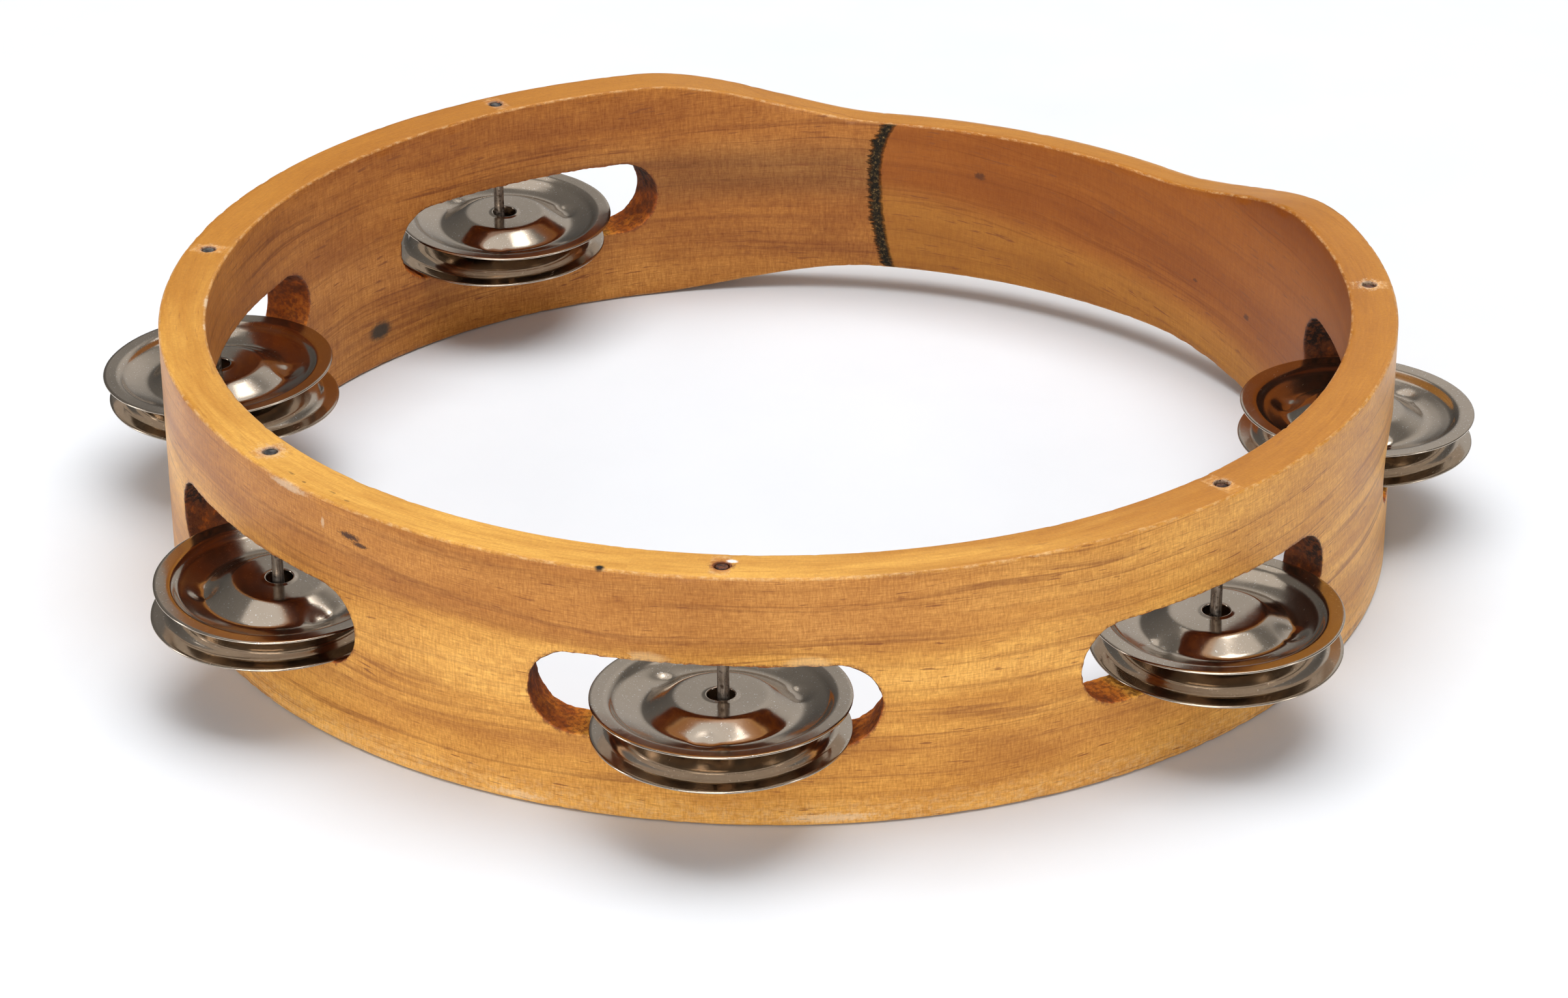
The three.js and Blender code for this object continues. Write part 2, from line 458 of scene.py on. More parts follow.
def wood_material():
    """Varnished bent wood. The grain follows the strip: along it, through it and up it."""
    wood = Shader("varnished_wood")
    strip = wood.attribute("strip", "Vector")
    along = wood.split(strip, 0)
    depth = wood.split(strip, 1)
    up = wood.split(strip, 2)
    scarf = wood.attribute("scarf")
    edge = wood.attribute("edge")
    cut = wood.attribute("cut")
    burn = wood.attribute("burn")
    rim = wood.attribute("rim")

    # The two ends of the strip meet at the scarf, so the grain breaks there
    far_end = wood.math("LESS_THAN", scarf, 0.0)
    near_end = wood.without(far_end)
    length = wood.times_plus(far_end, 2 * math.pi * OUTER / MM, along)
    rise = wood.times(wood.remap(scarf, -150, -2, 0, 16), far_end)
    level = wood.math("ADD", wood.math("SUBTRACT", up, rise), wood.times(depth, 0.35))
    slow_place = wood.join(wood.times(length, 0.009), 0.0, wood.times(up, 0.03))
    bend = wood.noise(slow_place, detail=2)
    level = wood.times_plus(bend, 12.0, level)
    grain = wood.join(length, depth, level)
    inside = wood.remap(depth, 7.4, 9.6)
    outside = wood.times(wood.without(inside), wood.without(edge))
    past_seam = wood.times(far_end, inside, wood.remap(scarf, -330, -200))
    lined = wood.times_plus(past_seam, -0.45, 1.0)

    # Broad tones, then growth lines as the contours of slow noises
    tone = wood.noise(wood.stretch(grain, (0.0055, 0.03, 0.075)), detail=3, roughness=0.55)
    colour = wood.ramp(tone, [
        (0.30, (0.46, 0.182, 0.034)),
        (0.45, (0.61, 0.272, 0.050)),
        (0.58, (0.72, 0.350, 0.072)),
        (0.72, (0.82, 0.420, 0.098)),
    ])
    # Darker along the top of the outer wall, from the seam round the left to the front
    upper = wood.times(wood.remap(level, 40, 46), outside)
    upper = wood.times(upper, wood.remap(length, 440, 500, 1.0, 0.1))
    colour = wood.blend(wood.times(upper, 0.95), colour, (0.77, 0.67, 0.73), "MULTIPLY")

    growth = wood.noise(wood.stretch(grain, (0.0032, 0.05, 0.15)), detail=3, roughness=0.5)
    line = wood.remap(wood.math("ABSOLUTE", wood.math("SUBTRACT", growth, 0.5)), 0.0, 0.022, 1.0, 0.0)
    darker = wood.noise(wood.stretch(grain, (0.02, 0.1, 0.2), (2, 5, 3)), detail=2)
    line = wood.times(line, wood.remap(darker, 0.35, 0.65, 0.1, 0.75))
    colour = wood.blend(wood.times(line, lined), colour, (0.30, 0.105, 0.022))
    bands = wood.noise(wood.stretch(grain, (0.0045, 0.12, 0.55)), detail=4, roughness=0.7)
    bands = wood.times(wood.remap(bands, 0.48, 0.72, 0.0, 0.55), lined)
    colour = wood.blend(bands, colour, (0.36, 0.135, 0.026))

    # Inside: an olive band before the seam, and past it a pale wedge under a browner one
    level_band = wood.times(wood.remap(up, 20, 28), wood.remap(up, 32, 40, 1, 0))
    olive = wood.times(level_band, wood.remap(along, 40, 150, 1, 0))
    olive = wood.times(olive, near_end, inside)
    colour = wood.blend(wood.times(olive, 0.55), colour, (0.30, 0.16, 0.05))
    wedge = wood.times_plus(scarf, -0.146, up)
    wedge = wood.times_plus(bend, 10.0, wedge)
    wedge = wood.times(wood.remap(wedge, 26, 35), past_seam)
    colour = wood.blend(wedge, colour, (0.80, 0.62, 0.50), "MULTIPLY")

    # Browner inside the hoop, less so low on the inner wall where painted light stands for floor
    # bounce; yellower on the planed edges, redder on the further ones
    inner_tone_and_floor_bounce = wood.times(inside, wood.without(edge))
    # Painted light: the inner wall is darkened less towards its foot, standing in for light bounced off
    # the floor
    inner_tone_and_floor_bounce = wood.times(inner_tone_and_floor_bounce, wood.remap(up, 4, 28, 0.50, 0.70))
    colour = wood.blend(inner_tone_and_floor_bounce, colour, (0.54, 0.33, 0.28), "MULTIPLY")
    colour = wood.blend(past_seam, colour, (0.90, 0.89, 0.62), "MULTIPLY")
    place = wood.object_place()
    blotches = wood.noise(wood.stretch(strip, (0.035, 0.3, 0.3)), detail=3)
    redder = wood.remap(wood.times_plus(blotches, 0.12, wood.split(place, 1)), -0.085, 0.03)
    planed = wood.blend(redder, (0.76, 0.42, 0.085), (0.37, 0.135, 0.010))
    streaks = wood.noise(wood.stretch(strip, (0.08, 1.6, 1.6)), detail=5, roughness=0.7)
    planed = wood.blend(wood.remap(streaks, 0.45, 0.66, 0.0, 0.45), planed, (0.46, 0.18, 0.022))
    colour = wood.blend(wood.times(edge, 0.75), colour, planed)

    # Fine fibres along the strip, finer sanding strokes across it, and short dark pores
    fibres = wood.noise(wood.stretch(grain, (0.3, 2.4, 4.0)), detail=6, roughness=0.72)
    flecks = wood.noise(wood.stretch(grain, (2.4, 1.2, 0.5)), detail=5, roughness=0.72)
    patches = wood.noise(wood.stretch(grain, (0.05, 0.1, 0.12), (3, 1, 8)), detail=2)
    shade = wood.sway(fibres, 1.55, 1.0)
    shade = wood.times(shade, wood.sway(flecks, 1.6, 1.0))
    shade = wood.times(shade, wood.remap(patches, 0.3, 0.7, 0.86, 1.10))
    calm = wood.math("MAXIMUM", wood.times(past_seam, 0.55), wood.times(edge, 0.6))
    shade = wood.times_plus(wood.without(shade), calm, shade)
    # Where it is darker it is redder, and where it is lighter it is creamier
    tint = wood.join(*(wood.math("POWER", shade, power) for power in (0.75, 1.05, 1.35)))
    colour = wood.blend(1.0, colour, tint, "MULTIPLY")
    pores = wood.noise(wood.stretch(grain, (0.17, 1.5, 2.1), (1, 9, 4)), detail=2)
    pores = wood.times(wood.remap(pores, 0.62, 0.70), wood.remap(darker, 0.4, 0.6, 0.25, 0.9))
    pores = wood.times(pores, wood.times_plus(edge, -0.65, 1.0))
    colour = wood.blend(pores, colour, (0.24, 0.075, 0.018))

    # Worn, paler corners, most of all along the bottom
    corner = wood.times(wood.times(edge, wood.without(edge)), 4.0)
    foot = wood.times(wood.remap(up, 1.0, 7.5, 0.9, 0), outside)
    chips = wood.noise(wood.stretch(strip, (0.5, 1.0, 1.0)), detail=6, roughness=0.8)
    worn = wood.times(wood.math("MAXIMUM", corner, foot), wood.remap(chips, 0.44, 0.66))
    colour = wood.blend(wood.times(worn, 0.5), colour, (0.80, 0.55, 0.29))

    # Scorched slot walls
    crumbs = wood.noise(place, 900, detail=4, roughness=0.7)
    blots = wood.noise(place, 240, detail=3, roughness=0.6)
    uneven = wood.times_plus(burn, 0.9, 0.25)
    soot = wood.times(wood.math("SUBTRACT", crumbs, 0.5), 0.6)
    soot = wood.sway(blots, 1.1, soot)
    soot = wood.times_plus(soot, uneven, burn)
    charred = wood.ramp(soot, [
        (0.08, (0.86, 0.42, 0.06)),
        (0.30, (0.70, 0.21, 0.022)),
        (0.55, (0.42, 0.095, 0.012)),
        (0.78, (0.12, 0.032, 0.010)),
        (0.98, (0.028, 0.014, 0.009)),
    ])
    colour = wood.blend(wood.remap(wood.times_plus(crumbs, 0.5, cut), 0.30, 0.75), colour, charred)
    fringe = wood.times(wood.remap(rim, 0.0, 1.1, 1.0, 0.0), wood.remap(crumbs, 0.45, 0.6))
    colour = wood.blend(wood.times(fringe, 0.7), colour, (0.20, 0.055, 0.014))

    # Dark glue along the scarf
    frayed = wood.noise(wood.stretch(strip, (0.18, 1.0, 1.5)), detail=6, roughness=0.8)
    fray = wood.remap(scarf, -0.6, 1.2, 2.0, 6.5)
    crust = wood.noise(place, 1500, detail=4, roughness=0.7)
    away = wood.math("ABSOLUTE", wood.math("SUBTRACT", scarf, 0.1))
    away = wood.sway(frayed, fray, away)
    on_inner = wood.remap(depth, 9.0, 9.5, -0.45, 1.3)
    glue = wood.remap(wood.math("SUBTRACT", away, on_inner), -0.5, 0.6, 1.0, 0.0)
    glue = wood.times(glue, wood.remap(edge, 0.1, 0.5, 1.0, 0.0))
    glue_colour = wood.ramp(crust, [
        (0.40, (0.010, 0.008, 0.004)),
        (0.52, (0.030, 0.020, 0.008)),
        (0.60, (0.13, 0.080, 0.028)),
        (0.68, (0.36, 0.22, 0.08)),
    ])
    colour = wood.blend(glue, colour, glue_colour)

    # Knots, stains, scuffs and one painted white glint by the fourth pin
    for *shape, stain in MARKS:
        colour = wood.blend(wood.mark(strip, *shape), colour, stain)

    roughness = wood.sway(fibres, 0.25, 0.36)
    roughness = wood.math("MAXIMUM", roughness, wood.times(cut, 0.85))
    roughness = wood.math("MAXIMUM", roughness, wood.times(glue, 0.7))
    relief = wood.math("ADD", wood.times(fibres, 0.5), wood.times(flecks, 0.5))
    normal = wood.bump(relief, 0.00006)
    normal = wood.bump(wood.times(crumbs, cut), 0.0005, under=normal)
    normal = wood.bump(wood.times(crust, glue), 0.0008, under=normal)
    wood.set(**{"Base Color": colour, "Roughness": roughness, "Normal": normal})
    wood.set(**{"IOR": 1.45, "Specular IOR Level": 0.28})
    return wood


def jingle_material():
    """Bright plated steel, a little clouded, with fine scratches and specks."""
    steel = Shader("jingle_plate")
    place = steel.object_place()
    haze = steel.noise(place, 120, detail=3)
    specks = steel.noise(place, 2600, detail=2)
    scratches = steel.noise(steel.stretch(place, (6000, 300, 300)), detail=2)
    tarnish = steel.noise(place, 45, detail=4, roughness=0.6)
    colour = steel.ramp(tarnish, [(0.3, (0.445, 0.37, 0.29)), (0.7, (0.525, 0.44, 0.355))])
    colour = steel.blend(steel.remap(specks, 0.64, 0.74, 0.0, 0.8), colour, (0.85, 0.83, 0.80))
    roughness = steel.remap(haze, 0.3, 0.7, 0.12, 0.19)
    roughness = steel.math("ADD", roughness, steel.remap(scratches, 0.62, 0.75, 0.0, 0.10))
    normal = steel.bump(steel.math("ADD", haze, steel.times(specks, 0.04)), 0.00006)
    steel.set(**{"Base Color": colour, "Metallic": 1.0, "Roughness": roughness, "Normal": normal})
    return steel


def pin_material():
    """Dull drawn wire, brown-grey, streaked along its length."""
    wire = Shader("pin_wire")
    place = wire.object_place()
    streaks = wire.noise(wire.stretch(place, (2500, 2500, 120)), detail=4, roughness=0.65)
    spots = wire.noise(place, 900, detail=3)
    colour = wire.ramp(streaks, [
        (0.3, (0.10, 0.075, 0.055)),
        (0.5, (0.26, 0.21, 0.17)),
        (0.7, (0.48, 0.42, 0.35)),
    ])
    colour = wire.blend(wire.remap(spots, 0.55, 0.7), colour, (0.07, 0.045, 0.03))
    end = wire.attribute("end")
    stain = wire.attribute("stain")
    dull = wire.ramp(spots, [(0.42, (0.022, 0.019, 0.018)), (0.65, (0.12, 0.11, 0.10))])
    colour = wire.blend(end, colour, dull)
    rust = wire.ramp(spots, [(0.45, (0.016, 0.006, 0.004)), (0.62, (0.13, 0.038, 0.012))])
    colour = wire.blend(stain, colour, rust)
    roughness = wire.remap(spots, 0.3, 0.7, 0.25, 0.6)
    wire.set(**{
        "Base Color": colour,
        "Metallic": wire.times_plus(end, -0.85, 0.85),
        "Roughness": wire.math("MAXIMUM", roughness, wire.times(end, 0.6)),
        "Normal": wire.bump(streaks, 0.0001),
    })
    return wire


# -------------------- meshes

class Surface:
    """Points and quads gathered patch by patch, then turned into one mesh."""

    def __init__(self):
        self.points = np.zeros((0, 3))
        self.values = {}
        self.quads = []
        self.caps = []

    def add(self, points, **values):
        """Adds a grid of points with their named values, and gives back the grid of indices."""
        points = np.asarray(points, float)
        flat = points.reshape(-1, 3)
        first = len(self.points)
        self.points = np.concatenate([self.points, flat])
        for name in sorted(set(values) | set(self.values)):
            old = self.values.get(name, np.zeros(first))
            new = np.broadcast_to(values.get(name, 0.0), points.shape[:-1]).reshape(-1)
            self.values[name] = np.concatenate([old, new])
        return np.arange(first, first + len(flat)).reshape(points.shape[:-1])

    def close(self, grid, kept=None):
        """Quads over a grid of indices that is closed round its first axis."""
        ahead = np.roll(grid, -1, axis=0)
        quads = np.stack([grid[:, :-1], ahead[:, :-1], ahead[:, 1:], grid[:, 1:]], -1)
        self.quads.append(quads[kept] if kept is not None else quads.reshape(-1, 4))

    def piece(self, name):
        """Makes the object, without the points that no face uses."""
        quads = np.concatenate(self.quads)
        used = np.unique(quads)
        renumber = np.zeros(len(self.points), int)
        renumber[used] = np.arange(len(used))
        data = bpy.data.meshes.new(name)
        faces = renumber[quads].tolist() + [renumber[cap].tolist() for cap in self.caps]
        data.from_pydata(self.points[used].tolist(), [], faces)
        for key, value in self.values.items():
            layer = data.attributes.new(key, "FLOAT", "POINT")
            layer.data.foreach_set("value", value[used].astype(np.float32))
        data.polygons.foreach_set("use_smooth", np.ones(len(faces), bool))
        data.validate()
        return new_object(name, data)


def grip_share(angle):
    """1 over the middle of the grip, 0 outside it, with an eased change between."""
    from_grip = np.degrees(np.abs(wrapped(angle - math.pi / 2)))
    return 1 - smoothstep(from_grip, GRIP_HALF, GRIP_EASE_END)


def slot_angle(number):
    """Where the middle of a slot is round the hoop's axis."""
    return pin_angle(number) - SLOT_LAG


def column_angles():
    """Angles of the shell's columns: even over each slot panel, finer near the seam."""
    angles = []
    half = PANEL_HALF / OUTER
    for number in numbers:
        centre = slot_angle(number)
        following = slot_angle(number % pin_count + 1)
        gap = (following - centre) % (2 * math.pi) - 2 * half
        angles.append(centre - half + np.arange(PANEL_COLUMNS) * 2 * half / PANEL_COLUMNS)
        start = centre + half
        if number < pin_count:
            angles.append(start + np.arange(GAP_COLUMNS) * gap / GAP_COLUMNS)
        else:
            fine = np.linspace(0, gap, 3000)
            from_seam = np.degrees(wrapped(start + fine - SEAM_ANGLE)) - SEAM_FINE_SHIFT
            weight = np.cumsum(1 + SEAM_FINENESS * np.exp(-(from_seam / SEAM_FINE_WIDTH) ** 2))
            shares = np.linspace(weight[0], weight[-1], GRIP_COLUMNS + 1)[:-1]
            angles.append(start + np.interp(shares, weight, fine))
    return np.concatenate(angles)


def wall_rows():
    """Heights of the rows up a straight wall, as shares of its flat part."""
    low, high = EDGE_RADIUS, HEIGHT - EDGE_RADIUS
    under = np.linspace(low, SLOT_MIDDLE - SLOT_BLOCK_HALF, MARGIN_ROWS + 1)[:-1]
    beside = np.linspace(SLOT_MIDDLE - SLOT_BLOCK_HALF, SLOT_MIDDLE + SLOT_BLOCK_HALF, SLOT_ROWS + 1)
    over = np.linspace(SLOT_MIDDLE + SLOT_BLOCK_HALF, high, MARGIN_ROWS + 1)[1:]
    return (np.concatenate([under, beside, over]) - low) / (high - low)


def section(angles):
    """The wall's section at each column: radius, height and how far round onto an edge face."""
    share = grip_share(angles)
    high = HEIGHT - GRIP_TOP_DIP * share
    low = GRIP_BOTTOM_RISE * share
    round_over = EDGE_RADIUS + (GRIP_EDGE_RADIUS - EDGE_RADIUS) * share
    rows = wall_rows()
    radii, heights, edges = [], [], []

    def column(radius, height, edge):
        """One more point of the section at every column."""
        radii.append(np.broadcast_to(radius, share.shape))
        heights.append(np.broadcast_to(height, share.shape))
        edges.append(np.broadcast_to(edge, share.shape))

    def bend(radius, height, corner, start, rising):
        """A quarter turn round a centre, onto an edge face or off it."""
        for step in range(1, CORNER_STEPS + 1):
            done = step / CORNER_STEPS
            turn = start + math.pi / 2 * done
            out = radius + corner * math.cos(turn)
            column(out, height + corner * math.sin(turn), done if rising else 1 - done)

    for row in rows:
        column(OUTER, low + round_over + row * (high - low - 2 * round_over), 0)
    bend(OUTER - round_over, high - round_over, round_over, 0, True)
    across = WALL - round_over - EDGE_RADIUS
    for step in range(1, EDGE_FACE_STEPS + 1):
        column(OUTER - round_over - step / EDGE_FACE_STEPS * across, high, 1)
    bend(INNER + EDGE_RADIUS, high - EDGE_RADIUS, EDGE_RADIUS, math.pi / 2, False)
    for row in rows[::-1][1:]:
        column(INNER, low + EDGE_RADIUS + row * (high - low - 2 * EDGE_RADIUS), 0)
    bend(INNER + EDGE_RADIUS, low + EDGE_RADIUS, EDGE_RADIUS, math.pi, True)
    for step in range(1, EDGE_FACE_STEPS + 1):
        column(INNER + EDGE_RADIUS + step / EDGE_FACE_STEPS * across, low, 1)
    bend(OUTER - round_over, low + round_over, round_over, 1.5 * math.pi, False)
    return np.stack(radii, 1), np.stack(heights, 1), np.stack(edges, 1)


def nicks(angles, radii, heights, edges):
    """Small dents along the four corners, as inward moves of radius and height."""
    worn = 4 * edges * (1 - edges)
    near = worn > 0
    depth = np.zeros(radii.shape)
    points = on_ring(angles, radii, heights)[near]
    dents = rough(points, 330, 3) + 0.6 * rough(points, 60, 2, 4.0)
    depth[near] = smoothstep(dents, 0.15, 0.9) * CORNER_DENTS * worn[near]
    return -np.sign(radii - MIDDLE) * depth, -np.sign(heights - HEIGHT / 2) * depth


def slot_outline(grow):
    """Points round a slot, grown outwards, as across and up from its middle, with directions."""
    count = 2 * (PANEL_COLUMNS + SLOT_ROWS)
    end = SLOT_HEIGHT / 2
    half = SLOT_LENGTH / 2 - end
    arc = math.pi * end
    length = 4 * half + 2 * arc
    walk = ((np.arange(count) - PANEL_COLUMNS / 2) * length / count) % length
    right = (walk - half) / end - math.pi / 2
    left = (walk - 3 * half - arc) / end + math.pi / 2
    stretches = [walk < limit for limit in (half, half + arc, 3 * half + arc, 3 * half + 2 * arc)]
    turn = np.select(stretches, [-math.pi / 2, right, math.pi / 2, left], -math.pi / 2)
    over = 2 * half + arc - walk
    across = np.select(
        stretches,
        [walk, half + end * np.cos(right), over, end * np.cos(left) - half],
        walk - length,
    )
    return across + grow * np.cos(turn), end * np.sin(turn) + grow * np.sin(turn), turn


def block_loop(grid, first, last, bottom, top):
    """Indices round a block of a grid, from its first corner along the first axis."""
    step = 1 if top > bottom else -1
    rows = np.arange(bottom, top + step, step)
    columns = np.arange(first, last + 1) % len(grid)
    return np.concatenate([
        grid[columns[:-1], bottom],
        grid[columns[-1], rows[:-1]],
        grid[columns[:0:-1], top],
        grid[columns[0], rows[:0:-1]],
    ])


def on_ring(angle, radius, height):
    """Points given round the hoop's own axis."""
    angle, radius, height = np.broadcast_arrays(angle, radius, height)
    return np.stack([radius * np.cos(angle), CENTRE.y + radius * np.sin(angle), height], -1)


def in_slot(number, across, outward, height):
    """Points given in a slot's own straight frame."""
    angle = slot_angle(number)
    x = outward * math.cos(angle) - across * math.sin(angle)
    y = outward * math.sin(angle) + across * math.cos(angle)
    return np.stack(np.broadcast_arrays(x, CENTRE.y + y, height), -1)


def flow(surface, loop, radius, across, up, number):
    """Rings on a curved wall, easing from a block's edge to a slot's outline."""
    points = surface.points[loop]
    angle = slot_angle(number)
    start = wrapped(direction(points) - angle)
    end = np.arcsin(across / radius)
    rings = []
    for share in FLOW_SHARES:
        turn = angle + start + (end - start) * share
        height = points[:, 2] + (SLOT_MIDDLE + up - points[:, 2]) * share
        rings.append(on_ring(turn, radius, height))
    return rings


def cut_slot(surface, grid, kept, number, outer_row, inner_row):
    """One slot: eased rings on both walls, rounded lips and a rough wall through the wood."""
    first = (number - 1) * (PANEL_COLUMNS + GAP_COLUMNS)
    last = first + PANEL_COLUMNS
    outer_top = outer_row + SLOT_ROWS
    inner_top = inner_row - SLOT_ROWS
    kept[first:last, outer_row:outer_top] = False
    kept[first:last, inner_top:inner_row] = False
    outer_loop = block_loop(grid, first, last, outer_row, outer_top)
    inner_loop = block_loop(grid, first, last, inner_row, inner_top)

    across, up, _ = slot_outline(SLOT_EDGE)
    rings = [outer_loop]
    for ring in flow(surface, outer_loop, OUTER, across, up, number):
        rings.append(surface.add(ring, rim=rim_distance(ring, number)))

    profile = []
    for step in range(LIP_STEPS + 1):
        cut = step / LIP_STEPS
        lean = math.pi / 2 * cut
        profile.append((SLOT_EDGE * (1 - math.sin(lean)), SLOT_EDGE * (1 - math.cos(lean)), cut))
    layers = [("outer lip", *step) for step in profile]
    layers += [("wall", 0, layer / TUBE_LAYERS, 1) for layer in range(1, TUBE_LAYERS)]
    layers += [("inner lip", *step) for step in reversed(profile)]

    for kind, grow, depth, cut in layers:
        across, up, turn = slot_outline(grow)
        outside = np.sqrt(OUTER**2 - across**2)
        inside = np.sqrt(INNER**2 - across**2)
        if kind == "outer lip":
            outward = outside - depth
        elif kind == "inner lip":
            outward = inside + depth
        else:
            outward = outside - SLOT_EDGE + (inside - outside + 2 * SLOT_EDGE) * depth
        points = in_slot(number, across, outward, SLOT_MIDDLE + up)
        bite = rough(points, 1100, 3, number) * SLOT_FINE_BITES
        bite += rough(points, 300, 2, number + 9) * SLOT_BROAD_BITES
        bite = np.clip(bite + SLOT_BITE_MIDDLE, *SLOT_BITE_LIMITS) * (0.4 + 0.6 * cut)
        across = across + bite * np.cos(turn)
        up = up + bite * np.sin(turn)
        points = in_slot(number, across, outward, SLOT_MIDDLE + up)
        ends = smoothstep(np.abs(across), 19 * MM, 27 * MM)
        high = smoothstep(up, -8 * MM, 6 * MM)
        burn = (BURN_AT_ENDS * ends + BURN_AT_TOP * high) * SLOT_BURNS[number - 1] + BURN_LEAST
        rings.append(surface.add(points, cut=cut, burn=burn))
    across, up, _ = slot_outline(SLOT_EDGE)
    for ring in reversed(flow(surface, inner_loop, INNER, across, up, number)):
        rings.append(surface.add(ring, rim=rim_distance(ring, number)))
    rings.append(inner_loop)
    passage = np.stack(rings, 1)
    return passage, np.ones((len(passage), passage.shape[1] - 1), bool)


def rim_distance(points, number):
    """How far outside a slot's outline points on a wall lie, in millimetres."""
    turn = wrapped(direction(points) - slot_angle(number))
    radius = np.hypot(points[..., 1] - CENTRE.y, points[..., 0])
    across = np.abs(radius * np.sin(turn))
    up = np.abs(points[..., 2] - SLOT_MIDDLE)
    end = SLOT_HEIGHT / 2
    beyond = np.maximum(across - (SLOT_LENGTH / 2 - end), 0)
    return (np.hypot(beyond, up) - end) / MM


def round_loop(surface, loop, centre):
    """A loop's indices in order round a vertical axis, with their directions from it."""
    offset = surface.points[loop][:, :2] - np.array(centre[:2])
    turn = np.arctan2(offset[:, 1], offset[:, 0])
    order = np.argsort(turn)
    return loop[order], turn[order]


def circle(centre, turn, radius, height):
    """Points round a vertical axis, one for each direction."""
    x = centre.x + radius * np.cos(turn)
    y = centre.y + radius * np.sin(turn)
    return np.stack([x, y, np.full(len(turn), height)], -1)


def bore_pin(surface, grid, kept, top_start, passage, solid, number):
    """The pin's bore, from the top face into the slot and on below its floor."""
    centre = pins[number - 1]
    across_block = EDGE_FACE_STEPS * 3 // 4
    ceiling = SLOT_MIDDLE + SLOT_HEIGHT / 2
    floor = SLOT_MIDDLE - SLOT_HEIGHT / 2
    middle_ring = passage.shape[1] // 2
    column_turns = direction(surface.points[grid[:, top_start]])
    nearest = int(np.argmin(np.abs(wrapped(column_turns - pin_angle(number)))))
    top_end = top_start + EDGE_FACE_STEPS
    first, last = nearest - BORE_HALF_BLOCK, nearest + BORE_HALF_BLOCK
    kept[first:last, top_start:top_end] = False
    top_loop, top_turn = round_loop(surface, block_loop(grid, first, last, top_start, top_end), centre)

    def slot_block(above):
        """Opens a block in the slot's ceiling or floor at the pin, and gives its edge."""
        line = surface.points[passage[:, middle_ring]]
        side = (line[:, 2] > SLOT_MIDDLE) == above
        gap = np.hypot(line[:, 0] - centre.x, line[:, 1] - centre.y) + np.where(side, 0, 1)
        here = int(np.argmin(gap))
        half = across_block // 2
        around = np.arange(here - half, here + half) % len(passage)
        solid[np.ix_(around, np.arange(middle_ring - half, middle_ring + half))] = False
        rolled = np.roll(passage, half - here, axis=0)
        loop = block_loop(rolled, 0, across_block, middle_ring - half, middle_ring + half)
        return round_loop(surface, loop, centre)

    def ring(turn, radius, height, cut=1.0, burn=0.9):
        """A scorched ring of points round the pin's axis."""
        return surface.add(circle(centre, turn, radius, height), cut=cut, burn=burn)

    ceiling_loop, ceiling_turn = slot_block(True)
    floor_loop, floor_turn = slot_block(False)
    through = [
        top_loop,
        ring(top_turn, BORE_RADIUS + 3.5 * BORE_CHAMFER, HEIGHT, 0.0),
        ring(top_turn, BORE_RADIUS + BORE_CHAMFER, HEIGHT - BORE_CHAMFER / 2, 0.4),
        ring(top_turn, BORE_RADIUS, HEIGHT - BORE_LIP),
        ring(top_turn, BORE_RADIUS, HEIGHT - 8 * BORE_LIP),
        ring(ceiling_turn, BORE_RADIUS, ceiling + 4 * BORE_LIP),
        ring(ceiling_turn, BORE_RADIUS, ceiling + BORE_LIP),
        ring(ceiling_turn, BORE_RADIUS + BORE_CHAMFER, ceiling),
        ceiling_loop,
    ]
    surface.close(np.stack(through, 1))
    blind = [
        floor_loop,
        ring(floor_turn, BORE_RADIUS + BORE_CHAMFER, floor),
        ring(floor_turn, BORE_RADIUS, floor - BORE_LIP),
        ring(floor_turn, BORE_RADIUS, BORE_FOOT),
        ring(floor_turn, BORE_RADIUS / 3, BORE_FOOT),
    ]
    surface.close(np.stack(blind, 1))
    surface.caps.append(blind[-1])


def seam_offset(angle, radius, height):
    """Signed distance along the strip from the scarf's glue line, in millimetres."""
    level = height / MM - SEAM_CREST
    reach = np.where(level > 0, SEAM_REACH_UP, SEAM_REACH_DOWN)
    bow = SEAM_BOW * (1 - np.minimum(np.abs(level) / reach, 1.2) ** 2.2)
    depth = np.minimum((OUTER - radius) / WALL, 1)
    return (angle * OUTER - bow + SCARF_LENGTH * (1 - depth)) / MM


def glue_bead(angles, radii, heights, edges):
    """How far the squeezed-out glue stands proud of the inner wall."""
    away = np.abs(seam_offset(wrapped(angles - SEAM_ANGLE), radii, heights))
    near = (away < GLUE_HALF_WIDTH) & (edges == 0) & (radii < MIDDLE)
    proud = np.zeros(radii.shape)
    lumps = rough(on_ring(angles, radii, heights)[near], 700, 3)
    crest = GLUE_PROUD + GLUE_LUMPS * lumps
    proud[near] = smoothstep(away[near], GLUE_HALF_WIDTH, GLUE_CREST) * crest
    return np.maximum(proud, 0)


